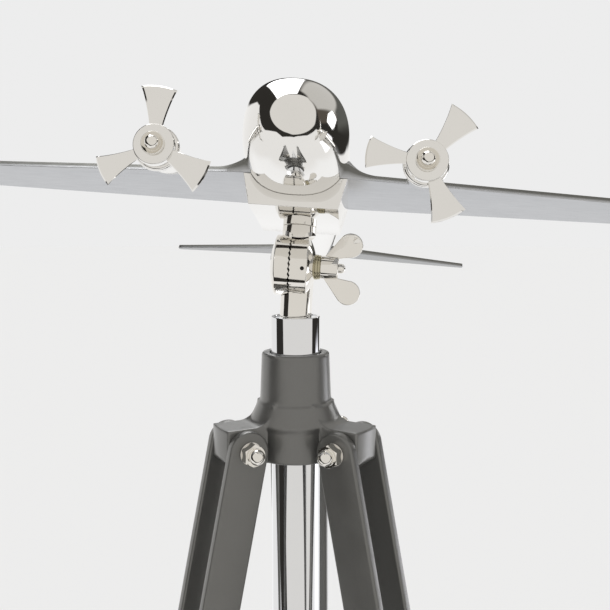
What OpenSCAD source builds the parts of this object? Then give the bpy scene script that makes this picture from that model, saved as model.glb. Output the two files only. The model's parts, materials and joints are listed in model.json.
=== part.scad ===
// Polished metal model airplane on a toothed tilt knuckle, a sliding column and a three-legged stand.
// Millimetres. +Z is up, the nose points to -Y, and Z = 0 is the floor under the feet.

/* [Stand] */
// Height of the leg pivots above the floor
pivot_h = 1050; // [850:1:1260]
// Distance of each leg pivot from the column axis
pivot_r = 41.5; // [41:0.5:50]
// Angle of each opened leg from upright
splay = 11.5; // [8:0.5:16]
// Width of a slat, seen along its pivot bolt
slat_w = 26; // [22:0.5:31]
// Thickness of a slat
slat_t = 7; // [5:0.5:9]
// Gap between the two slats of a leg
slat_gap = 26; // [22:0.1:31.2]
// Length of a slat below its pivot
slat_len = 560; // [440:1:640]
// Length of the lower bar that stays between the slats
bar_overlap = 90; // [60:1:120]
// Width of the lower bar, along the slat width
bar_w = 22; // [18:0.5:24]
// Diameter of a leg pivot bolt
pivot_bolt_d = 8; // [6:0.5:10]
// Diameter of a rubber foot
foot_d = 38; // [36:1:44]
// Length of a rubber foot
foot_len = 40; // [34:1:60]

/* [Crown] */
// Height of the crown rim above the pivots
crown_rim_h = 58.2; // [50:0.5:80]
// Diameter of the crown collar at its rim
crown_rim_d = 44.4; // [42:0.2:48]
// Diameter of the crown between its lugs
crown_core_d = 54; // [52:0.5:58]
// Height of a lug top above the pivots
lug_top = 13.3; // [11:0.1:16]
// Depth of a lug below the pivots
lug_drop = 10.5; // [8:0.1:14]
// Reach of a lug beyond its pivot
lug_reach = 12.5; // [9:0.5:14]

/* [Column] */
// Diameter of the column tube
tube_d = 32; // [28:0.2:38.4]
// Wall of the column tube
tube_wall = 2; // [1:0.25:3]
// Length of the column tube
tube_len = 420; // [300:1:500]
// Height of the tube top above the pivots
tube_rise = 81.8; // [76:0.1:140]
// Visible gap between the tube and the crown rim
rim_gap = 1; // [0.6:0.1:1.6]

/* [Knuckle] */
// Lean of the head to the right of upright
lean = 3.6; // [0:0.1:4]
// Turn of the head at rest, with the nose to the left
head_turn = 1; // [0:0.25:5]
// Nose-up pitch of the airplane at rest
pitch = 11.25; // [0:0.25:30]
// Height of the tilt axis above the tube top
knuckle_h = 32.7; // [30:0.1:45]
// Diameter of the knuckle discs
disc_d = 39.3; // [32.8:0.1:42]
// Diameter of the stem that turns in the column
stem_d = 20.8; // [18:0.2:21]
// Diameter of the neck under the airplane
neck_d = 20; // [17:0.2:21]
// Offset of the neck from the stem axis
neck_x = -1.2; // [-2:0.1:1]
// Offset of the toothed seam from the stem axis
seam_x = -5; // [-6:0.1:-4]
// Rim width of the upper half's disc
upper_rim_w = 10; // [8:0.1:12]
// Rim width of the lower half's disc
lower_rim_w = 11.6; // [10:0.1:14]
// Height of the dome on the upper half's outer face
upper_dome = 3.5; // [2:0.1:5]
// Height of the dome on the lower half's outer face
lower_dome = 4.2; // [3:0.1:5]
// Number of radial teeth on each disc
teeth = 36; // [24:1:40]
// Depth of the teeth at the rim
tooth_depth = 0.8; // [0.6:0.1:1.8]
// Gap between the tooth tips of the two halves
seam_gap = 0.2; // [0.15:0.05:0.4]
// Diameter of the tilt stud
stud_d = 6.3; // [5:0.1:8]

/* [Wing nut] */
// Diameter of the wing nut body
nut_d = 15.6; // [13:0.1:18]
// Length of the wing nut body
nut_len = 11.7; // [9:0.1:14]
// Distance of an ear's round end from the stud axis
ear_r = 15.5; // [14:0.1:16]
// Radius of an ear's round end
ear_end_r = 8; // [6:0.1:8.5]
// Thickness of an ear
ear_t = 2.5; // [2:0.1:4]
// Thickness of each lock washer
lock_washer_t = 1.6; // [1:0.1:2]

/* [Fuselage] */
// Width of the fuselage
fus_w = 60; // [56:0.5:66]
// Height of the fuselage
fus_h = 59.5; // [54:0.5:66]
// Height of the belly above the tilt axis
belly_z = 25.5; // [25:0.1:30]
// Thickness of the saddle under the fuselage
saddle_floor = 7; // [5:0.1:9]
// Distance of the saddle's front face ahead of the tilt axis
saddle_front = 66.2; // [60:0.2:76]
// Distance of the saddle's rear face behind the tilt axis
saddle_rear = 22.5; // [18:0.5:30]
// Width of the saddle at the belly
saddle_w = 52.2; // [48:0.2:56]
// Length of the rounded nose ahead of the saddle
nose_len = 76; // [60:0.5:90]
// how far the tip of the nose lies below the middle of the fuselage
nose_drop = 5.5; // [0:0.5:8]
// Distance of the tail's end behind the tilt axis
tail_y = 306; // [260:1:340]
// Height of the tail's centre above the tilt axis
tail_z = 52.4; // [48:0.1:60]

/* [Wings] */
// Height of the wings' underside above the tilt axis
wing_z = 43.8; // [40:0.1:46]
// Wingspan
span = 600; // [480:1:720]
// Leading edge sweep
wing_sweep = 8; // [4:0.5:10]
// Forward sweep of the trailing edge
wing_te_sweep = 2.5; // [0:0.5:4]
// Greatest thickness of a wing away from its root
wing_t = 6.5; // [5:0.1:9]
// Thickness of the leading edge
wing_le_t = 3.6; // [2.5:0.1:5]
// Thickness of the trailing edge
wing_te_t = 1.2; // [1:0.1:2]
// Span of the fillet at a wing root
root_fillet = 26; // [15:1:40]

/* [Tail] */
// Span of the tailplane
tail_span = 288; // [220:1:320]
// Chord of the tailplane at the fuselage
tail_chord = 46; // [40:1:54]
// Chord of the tailplane at its tips
tail_tip_chord = 10; // [9:0.5:24]
// Leading edge sweep of the tailplane
tail_sweep = 20.8; // [10:0.2:24]
// Thickness of the tailplane at the fuselage
tail_t = 5.6; // [4:0.1:7]
// Height of the fin above the tailplane
fin_h = 66; // [40:1:80]
// Thickness of the fin
fin_t = 3.2; // [2.5:0.1:5]

/* [Propellers] */
// Distance of each propeller from the fuselage axis
prop_x = 71.4; // [64:0.2:90]
// Radius of a propeller
prop_r = 32; // [24:0.5:33]
// Diameter of a propeller hub
hub_d = 22; // [18:0.2:24]
// Thickness of a propeller hub
hub_t = 6; // [4:0.1:8]
// Width of a blade at its tip
blade_tip_w = 18.9; // [12:0.1:20]
// Width of a blade at its root
blade_root_w = 6.8; // [6:0.1:9]
// Diameter of a propeller axle
axle_d = 5; // [4:0.1:6]
// Diameter of a nacelle behind its propeller
nacelle_d = 24.4; // [22:0.2:28]
// Distance of the nacelle's front ahead of the leading edge
nacelle_reach = 50; // [40:0.5:60]
// Turn of the left propeller
prop_left_turn = 90; // [0:1:120]
// Turn of the right propeller
prop_right_turn = 54; // [0:1:120]

/* [Hidden] */
$fn = 64;
run_fit = 0.05;      // radial clearance of a turning or sliding fit
face_gap = 0.3;      // gap between faces of pieces that move past each other
eps = 0.01;          // overshoot of a cutting tool

leg_names = ["left", "right", "back"];
leg_turn = [210, 330, 90];
leg_len = pivot_h / cos(splay);
leg_half = slat_gap / 2 + slat_t;
bar_d = slat_gap - 2 * face_gap;
slat_edge = 1.6;
washer_t = 1.4;
nut_gap = 0.1;       // a pivot washer's gap to its slat
bolt_reach = 9;      // length of a pivot bolt outside the slats
clamp_h = 30;
clamp_wall = 3;
clamp_z = 12 + clamp_h / 2 - slat_len;
knob_boss = 5;
screw_r = 3;
foot_floor = 16;     // rubber under the end of a bar
bar_foot = leg_len - foot_floor;

tube_r = tube_d / 2;
bore_r = tube_r + rim_gap;
sleeve_top = lug_top + 8;
set_screw_r = 2.5;
column_top = pivot_h + tube_rise;
stem_r = stem_d / 2;
stem_end = 30;       // length of the stem inside the tube
retainer_r = 2.5;
retainer_l = 12;

disc_r = disc_d / 2;
rim_round = 1.2;
dome_ledge = 0.4;    // flat ring between a disc's rounded rim and its dome
boss_r = 8.3;
grub_r = 1.3;
socket_r = 0.58 * disc_r;   // hollow inside the ring of teeth
tooth_shift = 45 / teeth;   // turn of the upper half's teeth, an eighth of their pitch
stud_r = stud_d / 2;
upper_face = seam_x - seam_gap / 2;
lower_face = seam_x + seam_gap / 2;
upper_out = upper_face - upper_rim_w;
lower_out = lower_face + lower_rim_w;
washer_x = lower_out + lower_dome + run_fit;
nut_x = washer_x + 2 * (lock_washer_t + run_fit);
stud_end = nut_x + nut_len + 4.6;
relief_r = disc_r + 0.5;
stud_seat = upper_out + 3;
neck_bolt_r = 4;
neck_bolt_l = 5;     // depth of the neck stud in the neck

fus_bottom = belly_z + saddle_floor;
fus_z = fus_bottom + fus_h / 2;
fus_top_n = 2.4;     // superellipse powers of the fuselage's upper and lower half
fus_bottom_n = 2.5;
fus_points = 48;
nose_power = 2.2;
tail_w = 10;
tail_h = 15;
wing_root_x = fus_w / 2 + 0.3;
wing_chord = saddle_front + saddle_rear;
saddle_top_w = 2 * wing_root_x;
// Half width of the fuselage where the wings' underside meets it, less the depth of a wing's seat
wing_seat_x = fus_w / 2 * pow(1 - pow(2 * (fus_z - wing_z) / fus_h, fus_bottom_n), 1 / fus_bottom_n) - 2;
edge_slant = tan(34);       // how far a leading edge leans back for its height
wing_round = 6;             // corner radius of a wing tip
tail_round = 2.5;
fin_back = tail_y - 2;
tail_edge_y = fin_back - tail_chord - 12;

function wing_edge_y(x) = -saddle_front + (x - wing_root_x) * tan(wing_sweep);
nacelle_edge = wing_edge_y(prop_x);
nacelle_front = nacelle_edge - nacelle_reach;
nacelle_r = nacelle_d / 2;
prop_gap = 1.2;
axle_seat = 16;      // depth of an axle in its nacelle
blade_t = 2;
prop_y = nacelle_front - prop_gap - hub_t / 2;

// Middle of the whole object on the floor, which is the origin
origin_x = (knuckle_h + wing_z) * sin(lean) + neck_x;
front_y = -(pivot_r + pivot_h * tan(splay)) / 2 - foot_d / 2;
back_y = fin_back * cos(pitch) + (tail_z + fin_h) * sin(pitch);
origin_y = (front_y + back_y) / 2;

// Frames of the stand, the head and the airplane
module placed() {
    translate([-origin_x, -origin_y, 0]) children();
}
module at_leg(i) {
    translate([0, 0, pivot_h]) rotate([0, 0, leg_turn[i]]) translate([pivot_r, 0, 0])
        rotate([0, -splay, 0]) children();
}
module at_head() {
    translate([0, 0, column_top]) rotate([0, lean, 0]) rotate([0, 0, -head_turn]) children();
}
module at_knuckle() {
    at_head() translate([0, 0, knuckle_h]) children();
}
module at_neck() {
    at_knuckle() rotate([-pitch, 0, 0]) children();
}
module at_plane() {
    at_neck() translate([neck_x, 0, 0]) children();
}
module along_x() {
    rotate([0, 90, 0]) children();
}
module along_y() {
    rotate([-90, 0, 0]) children();
}

// Shared shapes
module rounded_rect(w, h, r) {
    square([w - 2 * r, h], center = true);
    square([w, h - 2 * r], center = true);
    for (x = [-1, 1], y = [-1, 1])
        translate([x * (w / 2 - r), y * (h / 2 - r)]) circle(r);
}
module ring(r_out, r_in, h) {
    difference() {
        cylinder(r = r_out, h = h);
        translate([0, 0, -eps]) cylinder(r = r_in, h = h + 2 * eps);
    }
}
// Skin through rings of equal point count, closed by flat ends
module skin(rings) {
    n = len(rings[0]);
    m = len(rings);
    points = [for (r = rings) each r];
    sides = [for (i = [0:m - 2], j = [0:n - 1])
        each [[i * n + j, i * n + (j + 1) % n, (i + 1) * n + (j + 1) % n],
              [i * n + j, (i + 1) * n + (j + 1) % n, (i + 1) * n + j]]];
    ends = [[for (j = [n - 1:-1:0]) j], [for (j = [0:n - 1]) (m - 1) * n + j]];
    polyhedron(points, concat(sides, ends));
}

// Crown
module crown_lug() {
    fillet = 13.5;
    toe = 7;
    wall = crown_rim_d / 2;
    rotate([90, 0, 0]) translate([0, 0, -slat_gap / 2]) linear_extrude(slat_gap) {
        difference() {
            translate([0, -lug_drop]) square([pivot_r + lug_reach + 1, lug_drop + lug_top]);
            translate([pivot_r + lug_reach + 1, -lug_drop]) difference() {
                translate([-toe, -1]) square([toe + 1, toe + 1]);
                translate([-toe, toe]) circle(toe);
            }
        }
        difference() {
            translate([0, lug_top - eps]) square([wall + fillet, fillet + eps]);
            translate([wall + fillet, lug_top + fillet]) circle(fillet);
        }
    }
}
module crown() {
    collar_foot = lug_top + 14;
    bevel = 0.8;
    core_r = crown_core_d / 2;
    color("dimgray") translate([0, 0, pivot_h]) difference() {
        union() {
            rotate_extrude() polygon([
                [bore_r - 1, -lug_drop], [core_r - 1, -lug_drop], [core_r, 1 - lug_drop],
                [core_r, lug_top - 4], [core_r - 2, lug_top + 4], [crown_rim_d / 2 + 1.3, collar_foot],
                [crown_rim_d / 2, crown_rim_h - bevel], [crown_rim_d / 2 - bevel, crown_rim_h],
                [bore_r - 1, crown_rim_h]
            ]);
            intersection() {
                for (turn = leg_turn) rotate([0, 0, turn]) crown_lug();
                translate([0, 0, -lug_drop])
                    cylinder(r = pivot_r + lug_reach + 1, h = lug_drop + crown_rim_h);
            }
        }
        translate([0, 0, -lug_drop - 1]) cylinder(r = bore_r, h = lug_drop + crown_rim_h + 2);
        for (turn = leg_turn) rotate([0, 0, turn]) translate([pivot_r, 0, 0])
            rotate([90, 0, 0]) cylinder(r = pivot_bolt_d / 2, h = slat_gap + 2, center = true);
        set_screw_place() cylinder(r = set_screw_r, h = crown_rim_d);
    }
}
module crown_sleeve() {
    color("black") translate([0, 0, pivot_h - lug_drop])
        ring(bore_r, tube_r + run_fit, lug_drop + sleeve_top);
}
// Where the screw that locks the column stands, on the back of the collar
module set_screw_place() {
    translate([0, 0, (sleeve_top + crown_rim_h) / 2]) rotate([-90, 0, 0]) children();
}
module crown_set_screw() {
    color("silver") translate([0, 0, pivot_h]) set_screw_place() translate([0, 0, tube_r + face_gap])
        difference() {
            cylinder(r = set_screw_r, h = crown_rim_d / 2 - tube_r - face_gap);
            translate([0, 0, 3]) cylinder(r = 1.5, h = 4, $fn = 6);
        }
}

// Leg pivots
module pivot_bolts() {
    color("silver") for (i = [0:2]) translate([0, 0, pivot_h]) rotate([0, 0, leg_turn[i]])
        translate([pivot_r, 0, 0]) rotate([90, 0, 0])
            cylinder(r = pivot_bolt_d / 2, h = 2 * (leg_half + bolt_reach), center = true);
}
module both_nut_ends() {
    for (i = [0:2], side = [-1, 1]) translate([0, 0, pivot_h]) rotate([0, 0, leg_turn[i]])
        translate([pivot_r, side * leg_half, 0]) rotate([-90 * side, 0, 0]) children();
}
module pivot_washers() {
    color("silver") both_nut_ends() translate([0, 0, nut_gap])
        ring(pivot_bolt_d, pivot_bolt_d / 2, washer_t);
}
module cap_nuts() {
    flat = 1.625 * pivot_bolt_d / 2;
    corner = flat / cos(30);
    dome_r = 0.62 * pivot_bolt_d;
    color("silver") both_nut_ends() translate([0, 0, nut_gap + washer_t]) difference() {
        union() {
            intersection() {
                cylinder(r = corner, h = 6.5, $fn = 6);
                rotate_extrude() polygon([
                    [0, 0], [flat, 0], [corner, 0.8], [corner, 5.4], [flat - 0.6, 6.5], [0, 6.5]
                ]);
            }
            translate([0, 0, 6.4]) cylinder(r = dome_r, h = 2.6);
            translate([0, 0, 9]) intersection() {
                sphere(dome_r);
                cylinder(r = dome_r, h = dome_r + 1);
            }
        }
        translate([0, 0, -1]) cylinder(r = pivot_bolt_d / 2, h = bolt_reach + 1.5 - nut_gap - washer_t);
    }
}

// Legs
module slat() {
    difference() {
        union() {
            translate([0, 0, -slat_len]) linear_extrude(slat_len) rounded_rect(slat_w, slat_t, slat_edge);
            rotate([90, 0, 0]) rotate_extrude() intersection() {
                rounded_rect(slat_w, slat_t, slat_edge);
                translate([0, -slat_t / 2]) square([slat_w / 2, slat_t]);
            }
        }
        rotate([90, 0, 0]) cylinder(r = pivot_bolt_d / 2 + run_fit, h = slat_t + 2, center = true);
    }
}
module leg_slats(i) {
    color("gray") at_leg(i) for (side = [-1, 1])
        translate([0, side * (slat_gap + slat_t) / 2, 0]) slat();
}
module leg_clamp(i) {
    outer_w = slat_w + 2 * clamp_wall;
    outer_d = 2 * (leg_half + clamp_wall);
    color("silver") at_leg(i) translate([0, 0, clamp_z]) difference() {
        union() {
            translate([0, 0, -clamp_h / 2]) linear_extrude(clamp_h) rounded_rect(outer_w, outer_d, 3);
            along_x() cylinder(r = 7, h = outer_w / 2 + knob_boss);
        }
        translate([0, 0, -clamp_h / 2 - 1]) linear_extrude(clamp_h + 2)
            square([slat_w, 2 * leg_half], center = true);
        along_x() cylinder(r = screw_r + run_fit, h = outer_w);
    }
}
module leg_knob(i) {
    start = bar_w / 2 + face_gap;
    seat = slat_w / 2 + clamp_wall + knob_boss + face_gap;
    color("black") at_leg(i) translate([0, 0, clamp_z]) along_x() {
        translate([0, 0, start]) cylinder(r = screw_r, h = seat - start + 1);
        translate([0, 0, seat]) difference() {
            rotate_extrude() polygon([[0, 0], [6, 0], [8, 4], [12, 6], [12, 12], [10.5, 14], [0, 14]]);
            for (a = [0:60:300]) rotate([0, 0, a]) translate([14.5, 0, 3]) cylinder(r = 4, h = 14);
        }
    }
}
module bar_section() {
    rounded_rect(bar_w, bar_d, 1.6);
}
module leg_bar(i) {
    color("gray") at_leg(i) translate([0, 0, -bar_foot])
        linear_extrude(bar_foot - slat_len + bar_overlap) bar_section();
}
module leg_foot(i) {
    color("black") intersection() {
        at_leg(i) translate([0, 0, -leg_len]) difference() {
            translate([0, 0, -foot_d / 2]) rotate_extrude() polygon([
                [0, 0], [foot_d / 2, 0], [foot_d / 2, foot_d / 2 + 14],
                [foot_d / 2 - 1.5, foot_d / 2 + foot_len], [0, foot_d / 2 + foot_len]
            ]);
            translate([0, 0, leg_len - bar_foot]) linear_extrude(foot_len) bar_section();
        }
        cylinder(r = pivot_h, h = pivot_h / 2);
    }
}

// Column
module column_tube() {
    edge = 0.6;
    color("lightgray") translate([0, 0, column_top]) rotate_extrude() polygon([
        [tube_r - tube_wall, -tube_len], [tube_r, -tube_len], [tube_r, -edge],
        [tube_r - edge, 0], [tube_r - tube_wall, 0]
    ]);
}
// Plug in the tube's top, bored for the stem a few degrees off plumb, as the photographed head leans
module column_socket() {
    color("dimgray") difference() {
        translate([0, 0, column_top - stem_end - 3]) cylinder(r = tube_r - tube_wall, h = stem_end + 2.5);
        at_head() translate([0, 0, -stem_end - 10]) cylinder(r = stem_r + run_fit, h = stem_end + 20);
        at_head() translate([0, 0, -stem_end - 10]) cylinder(r = tube_d, h = 10);
    }
}
module column_end_plug() {
    color("black") translate([0, 0, column_top - tube_len]) {
        translate([0, 0, -2.5]) cylinder(r = tube_r, h = 2.5);
        cylinder(r = tube_r - tube_wall, h = 14);
    }
}

// Knuckle halves
// Space between the teeth of a disc: flanks that all aim at the disc's centre, so each tooth
// narrows and lowers towards the stud and meshes with its partner along its whole length
module tooth_cutter() {
    inner = 0.5 * disc_r;
    outer = disc_r + 2;
    land = 0.06;
    count = 2 * teeth;
    function corner(k, r, above) = let (a = 180 * k / teeth)
        [r * cos(a), r * sin(a), above ? 1.5 : k % 2 == 0 ? land : -tooth_depth * r / disc_r];
    polyhedron([for (k = [0:count - 1]) each [
        corner(k, inner, false), corner(k, outer, false), corner(k, outer, true), corner(k, inner, true)
    ]], [for (k = [0:count - 1], e = [0:3]) each let (
        n = (k + 1) % count, f = (e + 1) % 4)
        [[4 * k + e, 4 * n + f, 4 * n + e], [4 * k + e, 4 * k + f, 4 * n + f]]]);
}
// Disc with a rounded rim and a shallow dome, its toothed face at z = 0
module domed_disc(rim_w, dome_h, flat_r) {
    edge_r = disc_r - rim_round;
    rotate_extrude() {
        square([disc_r, rim_w - rim_round]);
        square([edge_r, rim_w]);
        translate([edge_r, rim_w - rim_round]) circle(rim_round);
        dome_half(rim_w, dome_h, flat_r, edge_r - dome_ledge);
    }
}
// Half profile of a dome that meets radius foot_r at height base and radius flat_r at base + h
module dome_half(base, h, flat_r, foot_r) {
    drop = (foot_r * foot_r - flat_r * flat_r - h * h) / (2 * h);
    ball = sqrt(foot_r * foot_r + drop * drop);
    intersection() {
        translate([0, base - drop]) circle(ball, $fn = 128);
        translate([0, base - eps]) square([foot_r + 1, h + eps]);
    }
}
module stem_knuckle() {
    color("gainsboro") at_knuckle() difference() {
        union() {
            difference() {
                translate([0, 0, -knuckle_h - stem_end]) rotate([0, 0, 90])
                    cylinder(r = stem_r, h = knuckle_h + stem_end);
                translate([-disc_d, 0, 0]) along_x() cylinder(r = relief_r, h = disc_d + lower_face);
            }
            translate([lower_face, 0, 0]) along_x() domed_disc(lower_rim_w, lower_dome, boss_r);
        }
        translate([lower_face, 0, 0]) rotate([0, -90, 0]) tooth_cutter();
        translate([lower_face - 1, 0, 0]) along_x() cylinder(r = socket_r, h = 2.5);
        translate([lower_face, 0, 0]) along_x() cylinder(r = stud_r + run_fit, h = disc_d);
        grub_place() cylinder(r = grub_r, h = disc_r);
        translate([0, 0, -knuckle_h - stem_end - 1]) cylinder(r = retainer_r, h = retainer_l + 2);
    }
}
module grub_place() {
    translate([(lower_face + lower_out) / 2 + 2.6, 0, 0]) rotate([90, 0, 0])
        translate([0, 0, disc_r - 7]) children();
}
module knuckle_grub_screw() {
    color("dimgray") at_knuckle() grub_place() cylinder(r = grub_r, h = 5.4);
}
module stem_retainer() {
    color("silver") at_head() translate([0, 0, -stem_end]) {
        translate([0, 0, -face_gap - 1.6]) cylinder(r = stem_r + 1, h = 1.6);
        translate([0, 0, -face_gap - 4.6]) cylinder(r = 4.6, h = 3, $fn = 6);
        cylinder(r = retainer_r, h = retainer_l);
        translate([0, 0, -face_gap - eps]) cylinder(r = stem_r - 1, h = face_gap + eps);
    }
}
module neck_knuckle() {
    color("gainsboro") at_neck() difference() {
        union() {
            difference() {
                translate([neck_x, 0, 0]) cylinder(r = neck_d / 2, h = belly_z);
                translate([upper_face, 0, 0]) along_x() cylinder(r = relief_r, h = disc_d);
            }
            mirror([1, 0, 0]) translate([-upper_face, 0, 0]) along_x() domed_disc(upper_rim_w, upper_dome, 1);
        }
        translate([upper_face, 0, 0]) rotate([-tooth_shift, 0, 0]) rotate([0, 90, 0]) tooth_cutter();
        translate([upper_face - 1.5, 0, 0]) along_x() cylinder(r = socket_r, h = 2.5);
        translate([stud_seat, 0, 0]) along_x() cylinder(r = stud_r, h = disc_d);
        translate([neck_x, 0, belly_z - neck_bolt_l]) cylinder(r = neck_bolt_r, h = neck_bolt_l + 1);
    }
}
module tilt_stud() {
    color("gainsboro") at_neck() {
        translate([stud_seat, 0, 0]) along_x() cylinder(r = stud_r, h = stud_end - stud_seat - stud_r);
        translate([stud_end - stud_r, 0, 0]) intersection() {
            sphere(stud_r);
            along_x() cylinder(r = stud_r, h = stud_d);
        }
    }
}
module neck_stud() {
    color("silver") at_plane() translate([0, 0, belly_z - neck_bolt_l])
        cylinder(r = neck_bolt_r, h = neck_bolt_l + saddle_floor - face_gap);
}
module lock_washers() {
    color("darkkhaki") at_neck() for (k = [0, 1])
        translate([washer_x + k * (lock_washer_t + run_fit), 0, 0]) along_x()
            ring(8.2 - 0.3 * k, stud_r + run_fit, lock_washer_t);
}
// Ear of the wing nut: a straight-sided teardrop about a round end
module nut_ear() {
    start = [1.4, nut_d / 2 - 2];
    tip = [nut_len + 7, ear_r];
    away = start - tip;
    reach = norm(away);
    turn = atan2(away[1], away[0]) - acos(ear_end_r / reach);
    translate([0, 0, -ear_t / 2]) linear_extrude(ear_t) {
        translate(tip) circle(ear_end_r);
        polygon([start, tip + ear_end_r * [cos(turn), sin(turn)], tip,
                 [tip[0], tip[1] - ear_end_r], [nut_len - 0.6, nut_d / 2 - 1.5], [nut_len - 1, start[1]]]);
    }
}
module wing_nut() {
    color("gainsboro") at_neck() translate([nut_x, 0, 0]) difference() {
        union() {
            along_x() rotate_extrude() polygon([
                [0, 0], [nut_d / 2 - 0.8, 0], [nut_d / 2, 0.8], [nut_d / 2 - 0.5, nut_len - 1],
                [nut_d / 2 - 1.5, nut_len], [0, nut_len]
            ]);
            for (side = [0, 180]) rotate([side, 0, 0]) rotate([90, 0, 0]) nut_ear();
        }
        translate([-1, 0, 0]) along_x() cylinder(r = stud_r + run_fit, h = nut_len + 20);
    }
}

// Fuselage and saddle
function signed_pow(v, p) = sign(v) * pow(abs(v), p);
// Section whose halves go from ellipses at square = 0 to their superellipses at square = 1
function fus_point(a, w, h, square) = let (n = 2 + square * ((sin(a) >= 0 ? fus_top_n : fus_bottom_n) - 2))
    [w / 2 * signed_pow(cos(a), 2 / n), h / 2 * signed_pow(sin(a), 2 / n)];
function fus_ring(y, w, h, z, square = 1) = [for (k = [0:fus_points - 1])
    let (p = fus_point(360 * k / fus_points, w, h, square)) [p[0], y, z + p[1]]];
function nose_ring(t) = let (grow = pow(cos(t), 2 / nose_power), way = pow(sin(t), 2 / nose_power))
    fus_ring(-saddle_front - nose_len * way,
        fus_w * grow, fus_h * grow, fus_z - nose_drop * way * way, cos(t));
function tail_ring(u) = fus_ring(
    saddle_rear + u * (tail_y - saddle_rear),
    tail_w + (fus_w - tail_w) * (1 - pow(u, 1.6)),
    tail_h + (fus_h - tail_h) * (1 - pow(u, 1.45)),
    fus_z + (tail_z - fus_z) * pow(u, 1.5));
module fuselage() {
    nose = [for (t = [88:-4:24]) nose_ring(t)];
    cheek = [for (t = [20, 14, 7]) nose_ring(t)];
    body = [fus_ring(-saddle_front, fus_w, fus_h, fus_z)];
    rear = [for (k = [0:14]) tail_ring(k / 14)];
    color("gainsboro") at_plane() difference() {
        skin(concat(nose, cheek, body, rear));
        for (side = [0, 1]) mirror([side, 0, 0]) wing_root_block();
        tail_slot();
        fin_plate();
    }
}
module saddle() {
    half = saddle_w / 2;
    color("gainsboro") at_plane() difference() {
        translate([0, saddle_rear, 0]) rotate([90, 0, 0]) linear_extrude(wing_chord) polygon([
            [-half, belly_z], [half, belly_z], [saddle_top_w / 2, wing_z], [-saddle_top_w / 2, wing_z]
        ]);
        translate([0, saddle_rear + 1, 0]) rotate([90, 0, 0]) linear_extrude(wing_chord + 2)
            polygon([for (p = fus_ring(0, fus_w, fus_h, fus_z)) [p[0], p[2]]]);
        translate([0, 0, belly_z - 1]) cylinder(r = neck_bolt_r, h = saddle_floor + 3);
    }
}

// Wings
// Section with a flat underside, a slanted leading edge and an arched top; y runs back from the edge
function foil(chord, t_le, t_top, t_te) = let (back = 0.85 * t_le * edge_slant) concat(
    [[0.15 * t_le, 0], [0, 0.15 * t_le], [back, t_le]],
    [for (u = [0.1:0.1:0.9]) [back + u * (chord - back),
        u < 0.3 ? t_le + (t_top - t_le) * sin(300 * u) : t_te + (t_top - t_te) * cos((u - 0.3) / 0.7 * 90)]],
    [[chord, t_te], [chord, 0]]);
// What a corner of radius r takes off each edge at distance s of a half span
function tip_inset(s, half, r) = let (q = max(0, (s - half + r) / r)) r * (1 - sqrt(max(0, 1 - q * q)));
function tip_places(half, r) = [for (a = [0:22.5:90]) half - r + r * sin(a)];
function wing_chord_at(x) = wing_chord - (x - wing_root_x) * (tan(wing_sweep) + tan(wing_te_sweep));
function wing_ring(x) = let (
        out = max(0, x - wing_root_x),
        lift = out < root_fillet ? 1 + 1.3 * pow(1 - out / root_fillet, 2) : 1,
        inset = tip_inset(x, span / 2, wing_round),
        chord = wing_chord_at(max(x, wing_root_x)) - 2 * inset,
        front = wing_edge_y(max(x, wing_root_x)) + inset)
    [for (p = foil(chord, wing_le_t, wing_t, wing_te_t)) [x, front + p[0], wing_z + p[1] * lift]];
module wing() {
    near = [wing_seat_x, wing_root_x];
    blend = [for (k = [1:5]) wing_root_x + root_fillet * k / 5];
    middle = [for (k = [1:2]) blend[4] + (span / 2 - wing_round - blend[4]) * k / 3];
    skin([for (x = concat(near, blend, middle, tip_places(span / 2, wing_round))) wing_ring(x)]);
}
module wing_root_block() {
    root = wing_ring(wing_root_x);
    translate([wing_seat_x, 0, 0]) rotate([90, 0, 90]) linear_extrude(12)
        polygon([for (p = root) [p[1], p[2]]]);
}
module wing_left() {
    color("lightsteelblue") at_plane() mirror([1, 0, 0]) wing();
}
module wing_right() {
    color("lightsteelblue") at_plane() wing();
}

// Tail
function tail_plane_ring(x) = let (
        s = abs(x),
        half = tail_span / 2,
        inset = tip_inset(s, half, tail_round),
        chord = tail_chord + (tail_tip_chord - tail_chord) * s / half - 2 * inset,
        front = tail_edge_y + s * tan(tail_sweep) + inset,
        t = tail_t * (1 - 0.38 * s / half))
    [for (p = foil(chord, 0.9 * t, t, 0.5 * t)) [x, front + p[0], tail_z - tail_t / 2 + p[1]]];
module tailplane() {
    half = tail_span / 2;
    side = concat([0.01, 0.3 * half, 0.65 * half], tip_places(half, tail_round));
    xs = concat([for (k = [len(side) - 1:-1:0]) -side[k]], side);
    color("lightsteelblue") at_plane() skin([for (x = xs) tail_plane_ring(x)]);
}
module tail_slot() {
    half = tail_w + 6;
    xs = [-half, -0.01, 0.01, half];
    skin([for (x = xs) tail_plane_ring(x)]);
}
module fin_plate() {
    foot = tail_z + tail_t / 2 + 0.4;
    top = tail_z + fin_h;
    round_r = 12;
    front = tail_edge_y + 4;
    lean_back = 30;
    tip = [for (a = [90:-10:0]) [fin_back - round_r + round_r * cos(a), top - round_r + round_r * sin(a)]];
    translate([-fin_t / 2, 0, 0]) rotate([90, 0, 90]) linear_extrude(fin_t)
        polygon(concat([[front, foot], [front + lean_back, top - 3], [front + lean_back + 3, top]],
            tip, [[fin_back, foot]]));
}
module tail_fin() {
    color("lightsteelblue") at_plane() fin_plate();
}

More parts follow.
